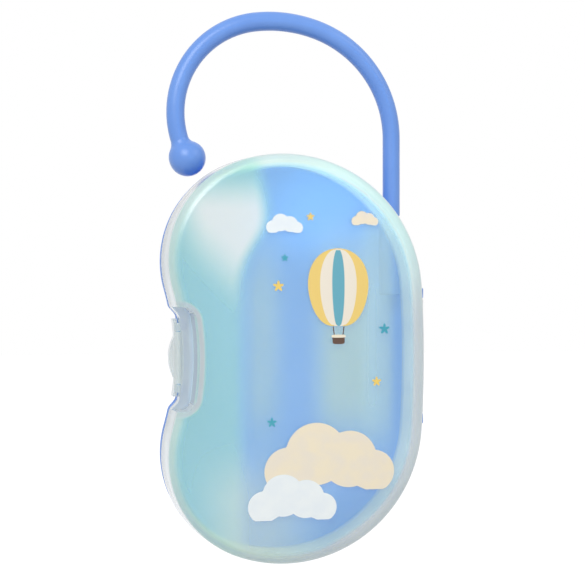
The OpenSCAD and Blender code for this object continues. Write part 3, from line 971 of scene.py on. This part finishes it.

# %% [markdown]
# Along the top and at the upper right shoulder, the front edge is painted a pale mint with a denser haze.
# This is a painted glow, as if light from above came out there. This painted glint is a second number on the
# vertices: full in the edge's radius, and less in the wall behind it.

# %% Painted glint at the shoulder
# painted glint: a pale mint and a denser haze over the top and the upper right of the front edge
shoulder = soft_step(up, 8, 42) * (0.6 * soft_step(across, -24, -8) + 0.4 * soft_step(across, -4, 16))
in_radius = soft_step(inset, 5.2, 4.2) * (0.45 + 0.55 * soft_step(inset, 0.4, 1.8))
note(cover, "glint", np.where(inner, 0, shoulder * in_radius))
print("glinting vertices:", int((shoulder * in_radius > 0.5).sum()))

# %% [markdown]
# Looked at squarely, the face is not evenly clear either. Its left half, over the latch, is clouded a watery
# green as far as a soft curved border. A paler patch above that and a paler foot below it are painted
# reflections of soft light, and so are two faint bands and a column over the middle. Each is a mask worked
# out from the place on the lying case, in millimetres that were fitted, and every mask adds to the density,
# so the haze thickens towards grazing angles by itself.

# %% Clouding and painted reflections on the face
def lying_place(finish):
    """Place on the lying case in millimetres, the way back from hang(): across, up and out of the front."""
    def axis(k):
        return finish.node("ShaderNodeSeparateXYZ", {}, {0: finish.place()}, k) / MM

    return axis(0) + saddle[0], axis(2) + saddle[1], -axis(1) - hook_back


def face_haze_and_painted_reflections(finish, across, up, face):
    """Clouding and painted reflections on the face, each as (mask, colour, density); face is 1 on it, 0
    elsewhere.

    They end at a border that bulges to the right: 8 * exp(-(up - 43)^2 / width^2) - 17.
    """
    above = (up - 43).at_least(0) / 24
    below = (43 - up).at_least(0) / 11
    border = 8 * (-(above * above) - below * below).exp() - 17
    inside = border - across

    cloudy = finish.step(inside, -2.5, 4) * face
    # the paler patch at the upper left is a painted reflection of soft light
    painted_reflection_top = (finish.step(across + up, -9, 16) * finish.step(inside, 0, 5)
             * finish.step(up, 58, 44) * finish.step(across, -42, -28) * face)
    # the foot, the two bands over the middle and the column are painted reflections too
    foot = finish.step(up, -22, -44) * finish.between(across, -36, -16, -12, 14) * face
    middle = finish.between(up, -36, -10, 16, 48) * face
    right_band = finish.between(across, 0, 11, 20, 31)
    left_band = finish.step(inside, 2, -4) * finish.step(across, -2, -12)
    column = finish.between(across, 16, 23, 26.5, 30.5) * finish.between(up, -34, -12, 36, 48) * face
    return ((cloudy, rgb(0.41, 0.82, 0.67), 0.25),
            (painted_reflection_top, rgb(0.80, 0.86, 0.80), 0.5),
            (foot, rgb(0.62, 0.82, 0.66), 0.2),
            (middle * (right_band + 0.7 * left_band), rgb(0.58, 0.86, 0.54), 0.13),
            (column, rgb(0.54, 0.84, 0.76), 0.11))


# %% [markdown]
# The walls of the latch recess are seen at a slant and its floor lies deep in the case. The walls get a
# darker blue-grey, which is painted shade, and the floor a paler grey-blue, which is painted light. How far
# a place lies outside the recess's rounded outline tells its rim from its wall, and its height tells the
# floor. The rim is a thin grey line, where the face turns down into the wall.

# %% Walls of the latch recess, with painted shade and painted light
def recess_walls(finish, across, up, out, face):
    """The recess's rim, wall and floor, by the distance sqrt(a^2 + b^2) - r from its rounded outline."""
    sideways = across - waist_cx
    from_middle = (sideways * sideways + up * up)**0.5
    past_side = (from_middle - (waist_r + recess_in - recess_corner_r)).at_least(0)
    past_end = (up.absolute() - (recess_len / 2 - recess_corner_r)).at_least(0)
    away = (past_side * past_side + past_end * past_end)**0.5 - recess_corner_r
    rim = finish.between(away, -0.1, 0.3, cover_wall - 0.4, cover_wall + 0.7) * face
    inside = finish.step(away, cover_wall + 0.6, cover_wall + 0.3) * (1 - face)
    floor_share = finish.step(out, recess_floor + 0.5, recess_floor)
    # painted shade: the recess wall darker blue-grey; painted light: its floor paler
    return ((rim, rgb(0.52, 0.56, 0.56), 0.9),
            (inside * (1 - floor_share), rgb(0.34, 0.40, 0.48), 0.5),
            (inside * floor_share, rgb(0.60, 0.74, 0.80), 0.8))


def cover_masks(finish):
    """All masks on the cover. The face begins just below the height of its edge."""
    across, up, out = lying_place(finish)
    face = finish.step(out, edge_z - 0.6, edge_z)
    return face_haze_and_painted_reflections(finish, across, up, face) + recess_walls(finish, across, up, out, face)


# %% [markdown]
# The finish itself mixes a clear film and a milky body by the opacity. Over both lies the
# gloss that any plastic has, faint head-on and strong at a slant. Light from the lamps, and
# light that bounces between the walls, passes almost freely, as it does through a real thin
# wall: without that the renderer would leave the inside of the case far too dark.

# %% Clear finish
clear_tint = rgb(0.44, 0.84, 1.0)
milk_tint = rgb(0.735, 0.77, 0.715)
# the tint of the painted glint at the shoulder
glint_tint = rgb(0.72, 1.0, 0.92)
wall_tint = rgb(0.72, 0.86, 0.84)
clear_density = 0.17
glint_density = 1.2


def clear_plastic(name, gloss, milk_density, masks, *pieces):
    """Opacity = (1 - exp(-density / cos)) * (1 - 0.8 * light), under a share of gloss.

    That share is (0.04 + 0.8 * facing^5) * (1 - light), where facing is 1 - cos, and light
    is 1 for a ray of light from a lamp or from another surface.
    """
    finish = Finish(name)
    facing = finish.node("ShaderNodeLayerWeight", {}, {"Blend": 0.5}, "Facing")
    milk = finish.stored("milk")
    glint = finish.stored("glint")
    grain = finish.noise(0.6, 3)
    cloud = finish.noise(11)
    normal = finish.bump(cloud, 0.5, 0.03)

    colour = finish.blend(finish.step(milk, 0, 0.12), clear_tint, milk_tint)
    # painted glint: pale mint over the top and the upper right of the front edge
    colour = finish.blend(glint, colour, glint_tint)
    density = clear_density * (1 - milk) + milk_density * milk * (0.9 + 0.2 * cloud)
    density = density + glint_density * glint
    # the masks add the green clouding, the painted reflections on the face, and the painted shade and light
    # of the recess
    for mask, tint, thickness in masks(finish):
        mask = mask * (1 - milk)
        colour = finish.blend(mask, colour, tint)
        density = density + thickness * mask

    light = finish.ray("Shadow") + finish.ray("Diffuse")
    opacity = (1 - (-density / (1 - facing).at_least(0.25)).exp()) * (1 - 0.8 * light)
    body = finish.plastic(colour, 0.3 + 0.1 * grain, normal)
    body = finish.mix_shader(0.5 * milk, body, finish.through(wall_tint, normal))
    hazed = finish.mix_shader(opacity, finish.clear(), body)
    shine_roughness = gloss + 0.05 * grain + 0.9 * milk * (1 - milk)
    shine = finish.plastic(rgb(1, 1, 1), shine_roughness, normal, 1)
    finish.use(finish.mix_shader((0.04 + 0.8 * facing**5) * (1 - light), hazed, shine), *pieces)


clear_plastic("cover_clear", 0.11, 1.25, cover_masks, cover)

# %% [markdown]
# The latch plate is moulded in the same plastic, with a satin surface for the thumb. It is
# evenly milky, so it has no masks. Its pin gets the same finish.

# %% Latch finish
note(latch, "milk", np.full(len(latch.data.vertices), 0.6))
clear_plastic("latch_clear", 0.2, 1.6, lambda finish: (), latch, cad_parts["latch_pin"])

# %% [markdown]
# ## The print
# The picture on the front is pad-printed: each colour is a film of ink a few hundredths of
# a millimetre thick, which follows the swell of the face. A texture would do from afar,
# but ink has an edge of its own, so each patch is a thin closed piece. A patch is a loop
# drawn on the flat, shrunk towards its middle in rings, and lifted onto the face by the
# same formula as the face itself. The picture is a plain one: a balloon over clouds.

# %% The face's height at any place
face_inset, face_height, _ = cover_edge(0)[0]
face_rim = outline(face_inset, 0)
rim_angle = np.arctan2(face_rim[:, 1], face_rim[:, 0])
rim_order = np.argsort(rim_angle)
rim_heading = rim_angle[rim_order]
rim_reach = np.hypot(face_rim[:, 0], face_rim[:, 1])[rim_order]


def face_z(p):
    """Height of the face: face_height + crown * (1 - f^2), where f is the share of the way to the rim."""
    reach = np.interp(np.arctan2(p[..., 1], p[..., 0]), rim_heading, rim_reach, period=turn)
    f = np.hypot(p[..., 0], p[..., 1]) / reach
    return face_height + cover_crown * (1 - f * f)


print("the face is", round(float(face_z(np.zeros(2))), 2), "mm high in its middle")

# %% A patch of ink on the face
ink_t = 0.03
ink_root = 0.02


def shrunk(loop, rows):
    """Rings from near a loop's middle out to the loop, middle + f * (loop - middle), with middle and f."""
    middle = loop.mean(0)
    f = np.linspace(0, 1, rows + 1)[1:]
    return middle + f[:, None, None] * (loop - middle), middle, f


def patch(name, loop, ink, layer=1, rows=7):
    """Ink over a loop: rings outward just below the face, then inward at layer * ink_t above it."""
    flat, middle, _ = shrunk(np.asarray(loop, float), rows)
    z = face_z(flat)[..., None]
    low = np.concatenate((flat, z - ink_root), -1)
    high = np.concatenate((flat, z + ink_t * layer), -1)[::-1]
    z = face_z(middle)
    ends = (*middle, z - ink_root), (*middle, z + ink_t * layer)
    piece = place(name, skin_mesh(name, np.concatenate((low, high)), *ends))
    smooth(piece)
    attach(piece, "cover")
    piece.data.materials.append(ink)
    return piece


print("a patch of ink is", ink_t, "mm thick and starts", ink_root, "mm inside the face")

# %% [markdown]
# Printing ink is matt beside the plastic and a few per cent uneven, with the grain of the
# silicone pad that laid it down.

# %% Ink finishes
teal_tone = rgb(0.05, 0.33, 0.43)
cream_tone = rgb(0.80, 0.72, 0.59)
yellow_tone = rgb(0.80, 0.55, 0.10)


def ink_body(finish, tone):
    """Matt plastic: roughness = 0.34 + 0.1 * fine noise, with a bump of that noise, 8 microns high."""
    grain = finish.noise(0.25, 3)
    return finish.plastic(tone, 0.34 + 0.1 * grain, finish.bump(grain, 0.4, 0.008))


def ink_finish(name, colour, shade):
    """Ink in one colour that slow noise shades."""
    finish = Finish(name)
    tone = finish.blend(finish.step(finish.noise(5), 0.3, 0.7), colour, shade)
    finish.use(ink_body(finish, tone))
    return finish.owner


cream = ink_finish("ink_cream", cream_tone, rgb(0.84, 0.74, 0.55))
yellow = ink_finish("ink_yellow", yellow_tone, rgb(0.84, 0.60, 0.14))
teal = ink_finish("ink_teal", teal_tone, rgb(0.06, 0.37, 0.46))
brown = ink_finish("ink_brown", rgb(0.085, 0.040, 0.022), rgb(0.105, 0.052, 0.028))
white = ink_finish("ink_white", rgb(0.78, 0.83, 0.85), rgb(0.82, 0.86, 0.86))


# %% Loops for the picture
def round_loop(x, y, rx, ry, power=2, count=48):
    """A rounded loop: |x / rx|^power + |y / ry|^power = 1."""
    a = np.linspace(0, turn, count, endpoint=False)
    c, s = np.cos(a), np.sin(a)
    wide = rx * np.sign(c) * abs(c)**(2 / power)
    high = ry * np.sign(s) * abs(s)**(2 / power)
    return np.stack((x + wide, y + high), -1)


def star_loop(x, y, r, count=50):
    """A five-pointed star with soft points: r * (0.72 + 0.28 cos(5 a - pi / 2))."""
    a = np.linspace(0, turn, count, endpoint=False)
    reach = r * (0.72 + 0.28 * np.cos(5 * a - math.pi / 2))
    return np.stack((x + reach * np.cos(a), y + reach * np.sin(a)), -1)


def cloud_loop(x, y, width, puffs, count=160):
    """Round puffs over a flat foot: in each direction, how far the furthest puff reaches."""
    a = np.linspace(0, turn, count, endpoint=False)
    u = np.stack((np.cos(a), np.sin(a)), -1)
    c = np.array([(px, py) for px, py, _ in puffs]) * width
    r = np.array([pr for _, _, pr in puffs]) * width
    along = u @ c.T
    inside = r * r - (c * c).sum(1) + along * along
    reach = np.where(inside > 0, along + np.sqrt(np.maximum(inside, 0)), 0).max(1)
    foot = np.where(u[:, 1] < 0, 0.16 * width / np.maximum(-u[:, 1], 1e-6), reach)
    return np.array([x, y]) + u * np.minimum(reach, foot)[:, None]


def envelope(r, t):
    """A balloon's half width and height at t, from 0 at the crown to 1 at the mouth."""
    low = (1 - np.cos(math.pi * t)) / 2
    half = r * np.sin(math.pi * t) * (1 - 0.25 * low) + 0.17 * r * low**3
    return half, r * np.cos(math.pi * t) - 0.24 * r * low


print("a star's points reach", star_loop(0, 0, 1).max(0).round(2), "of its radius")

# %% [markdown]
# The balloon's colours meet in curved seams, as the gores of a real one do. Each vertex
# carries how far across the balloon it lies, as a share of the half width at its height,
# and the ink changes colour at fixed shares.

# %% The balloon's ink
balloon_finish = Finish("ink_balloon")
gore = balloon_finish.stored("gore")
stripes = balloon_finish.blend(balloon_finish.step(gore, 0.19, 0.22), teal_tone, cream_tone)
stripes = balloon_finish.blend(balloon_finish.step(gore, 0.59, 0.62), stripes, yellow_tone)
shade = 1 - 0.08 * balloon_finish.noise(5)
stripes = balloon_finish.blend(0.08 * shade, stripes, rgb(0.95, 0.90, 0.80))
balloon_finish.use(ink_body(balloon_finish, stripes))

# %% The balloon
balloon_x, balloon_y, balloon_r = 11.5, 23, 10.5
half, height = envelope(balloon_r, np.linspace(0.02, 1, 50))
right_side = np.stack((balloon_x + half, balloon_y + height), -1)
left_side = np.stack((balloon_x - half, balloon_y + height), -1)
mouth = np.linspace(left_side[-1], right_side[-1], 12)[1:-1]
balloon_loop = np.concatenate((left_side, mouth, right_side[::-1]))
balloon = patch("print_balloon", balloon_loop, balloon_finish.owner, 2, 24)

_, spot = edge_depth(balloon)
widths, heights = envelope(balloon_r, np.linspace(0, 1, 200))
width_here = np.interp(spot[:, 1] - balloon_y, heights[::-1], widths[::-1])
note(balloon, "gore", np.abs(spot[:, 0] - balloon_x) / np.maximum(width_here, 0.2))
print("the balloon is", round(float(np.ptp(balloon_loop[:, 1])), 1), "mm high")

# %% Ropes and basket
rope_half = 0.16
# the envelope ends 1.24 radii below its middle
mouth_y = balloon_y - 1.24 * balloon_r
for side, word in ((-1, "left"), (1, "right")):
    top_x, top_y = balloon_x + side * 1.7, mouth_y - 0.2
    foot_x, foot_y = balloon_x + side * 1.3, mouth_y - 3
    rope = [(top_x - rope_half, top_y), (foot_x - rope_half, foot_y),
            (foot_x + rope_half, foot_y), (top_x + rope_half, top_y)]
    patch(f"print_rope_{word}", rope, brown, 1, 3)
patch("print_basket", round_loop(balloon_x, mouth_y - 4.1, 1.9, 1.4, 5), brown)
patch("print_basket_rim", round_loop(balloon_x, mouth_y - 3.1, 2.2, 0.45, 4), cream, 2, 4)

# %% Clouds and stars
# each puff's middle and radius, as shares of the cloud's width
heap = ((-0.30, -0.02, 0.17), (-0.10, 0.10, 0.22), (0.14, 0.06, 0.20), (0.32, -0.03, 0.15))
patch("print_cloud_back", cloud_loop(9, -33, 43, heap), cream)
patch("print_cloud_front", cloud_loop(-2.5, -44, 29, heap), white, 2)
patch("print_cloud_small", cloud_loop(-5, 40, 12, heap), white)
patch("print_cloud_high", cloud_loop(20, 42, 9, heap), cream)
stars = ((-7, 22, 1.7, yellow), (26, 9, 1.7, teal), (23.5, -7, 1.5, yellow),
         (3, 43, 1.3, yellow), (-9, -19, 1.5, teal), (-5, 30.5, 1.2, teal))
for k, (x, y, r, ink) in enumerate(stars):
    patch(f"print_star_{k}", star_loop(x, y, r), ink, 1, 4)

# %% [markdown]
# ## The studio
# The photograph has a plain white ground and soft light from all sides. The floor and the
# sky are white to the camera and in reflections, and that white is not light on the case:
# a Light Path node tells the two apart. The floor keeps part of its own shading, so the
# case still throws a soft shadow on it, and it glows brighter away from the case, where
# the photograph is pure white.

# %% The floor
floor_z = -0.26
floor_half = 4
floor_mesh = bpy.data.meshes.new("floor")
corner = [(-1, -1), (1, -1), (1, 1), (-1, 1)]
floor_mesh.from_pydata([(x * floor_half, y * floor_half, floor_z) for x, y in corner], [], [(0, 1, 2, 3)])
floor = place("floor", floor_mesh)


def seen(finish):
    """1 for a ray from the camera, off a gloss or through a clear piece; 0 for light on a surface."""
    return finish.ray("Camera") + finish.ray("Glossy") + finish.ray("Transmission")


ground = Finish("floor_white")
speck = ground.noise(3)
paper = ground.blend(speck, rgb(0.60, 0.60, 0.60), rgb(0.64, 0.64, 0.64))
own = ground.plastic(paper, 0.95, ground.bump(speck, 0.3, 0.02))
spread = ground.node("ShaderNodeVectorMath", {"operation": "LENGTH"}, {0: ground.place()}, "Value")
near_glow = ground.glow(rgb(1, 1, 1), 1.75)
far_glow = ground.glow(rgb(1, 1, 1), 2.2)
glow = ground.mix_shader(ground.step(spread, 0.4, 0.6), near_glow, far_glow)
ground.use(ground.mix_shader(0.4 * seen(ground), own, glow), floor)

# %% [markdown]
# The sky lights the case evenly and a little blue. Two lamps add direction: a wide key lamp
# at the upper left and a weak one at the upper right, which lifts the hook's far edge.

# %% Sky and lamps
bpy.context.scene.world = bpy.data.worlds.new("sky")
sky = Finish("sky", bpy.context.scene.world)
sky_light = sky.node("ShaderNodeBackground", {}, {"Color": rgb(0.97, 0.985, 1), "Strength": 0.645})
sky_seen = sky.node("ShaderNodeBackground", {}, {"Color": rgb(1, 1, 1), "Strength": 1})
sky.use(sky.mix_shader(seen(sky), sky_light, sky_seen), output="ShaderNodeOutputWorld")


def lamp(name, azimuth, elevation, far, size, power):
    """A square lamp at middle + far * (sin a cos e, -cos a cos e, sin e), turned towards the case."""
    data = bpy.data.lights.new(name, "AREA")
    data.size = size
    data.energy = power
    thing = bpy.data.objects.new(name, data)
    a, e = math.radians(azimuth), math.radians(elevation)
    away = Vector((math.sin(a) * math.cos(e), -math.cos(a) * math.cos(e), math.sin(e)))
    thing.location = Vector(hang((0, 10, 0))) + away * far
    thing.rotation_mode = "QUATERNION"
    thing.rotation_quaternion = away.to_track_quat("Z", "Y")
    bpy.context.scene.collection.objects.link(thing)


lamp("key", -28, 33, 0.9, 0.5, 4.1)
lamp("rim", 50, 35, 0.9, 0.4, 0.9)

# %% [markdown]
# ## Soft boxes that only a gloss can see
# What lies softly over the middle of the face is a reflection. To put a soft box where the
# camera sees it in the face, its outline is drawn in the picture, and each point is sent
# along the camera's ray to the face and off it like light off a mirror. The box hangs
# there, seen by gloss alone, and fades towards its edge.

# %% Where the face mirrors a point of the picture
def mirrored(px, far):
    """Where rays through picture points end, far metres after the face mirrors them: r = d - 2 (d . n) n."""
    px = np.asarray(px, float)
    side, ahead, upward = np.array([-back.y, back.x, 0]), -np.array(back), np.array([0, 0, 1])
    middle = photo_px / 2
    d = ahead + ((px[..., :1] - middle) * side + (middle - px[..., 1:]) * upward) / focal_px
    d /= np.linalg.norm(d, axis=-1, keepdims=True)
    eye = np.array(camera.location)
    z = np.full(px.shape[:-1], face_height + cover_crown)
    for _ in range(3):
        reach = (-(z + hook_back) * MM - eye[1]) / d[..., 1]
        hit = eye + d * reach[..., None]
        flat = lie(hit)[..., :2]
        z = face_z(flat)
    step = 0.5
    slope = [(face_z(flat + s) - face_z(flat - s)) / (2 * step) for s in np.eye(2) * step]
    n = np.stack((-slope[0], -np.ones_like(z), -slope[1]), -1)
    n /= np.linalg.norm(n, axis=-1, keepdims=True)
    off = d - 2 * (d * n).sum(-1, keepdims=True) * n
    return hit + off * far


print("the picture's middle is mirrored to", mirrored((photo_px / 2, photo_px / 2), 1.1).round(2), "m")

# %% Soft boxes
box_far = 1.1


def soft_box(name, loop, strength, tint, rows=10):
    """A glowing sheet behind a loop of picture points: strength * (1 - smooth step of f past 0.35)."""
    rings, middle, f = shrunk(loop, rows)
    count = len(loop)
    points = np.concatenate((mirrored(rings, box_far).reshape(-1, 3), [mirrored(middle, box_far)]))
    j = np.arange(count)
    fan = np.stack((np.full(count, rows * count), j, (j + 1) % count), -1)
    mesh = bpy.data.meshes.new(name)
    mesh.from_pydata(points.tolist(), [], ring_faces(rows, count).tolist() + fan.tolist())
    sheet = place(name, mesh)
    note(sheet, "fade", np.append(np.repeat(f, count), 0))
    finish = Finish(name)
    lit_share = 1 - finish.step(finish.stored("fade"), 0.35, 1)
    finish.use(finish.mix_shader(lit_share, finish.clear(), finish.glow(tint, strength)), sheet)
    sheet.visible_camera = False
    sheet.visible_diffuse = False
    sheet.visible_transmission = False
    sheet.visible_shadow = False


soft_box("box_right", round_loop(348, 345, 42, 150, 3), 2.1, rgb(1, 0.94, 0.88))
soft_box("box_middle", round_loop(266, 330, 22, 110, 3), 1.6, rgb(1, 0.95, 0.80))
soft_box("box_top", round_loop(325, 205, 85, 60, 3), 7.5, rgb(0.22, 0.5, 1))

# %% [markdown]
# A ray may cross the cover's face, its side, the recess and the latch plate one after the
# other, and each is a wall with two skins. That is more than the renderer allows by itself,
# so it gets room for more. The colours go to the picture with no film curve over them.

# %% How the picture is taken
scene = bpy.context.scene
scene.view_settings.view_transform = "Standard"
scene.cycles.transparent_max_bounces = 24
print("clear skins that a ray may pass:", scene.cycles.transparent_max_bounces)

# %% [markdown]
# The solids decide the size.
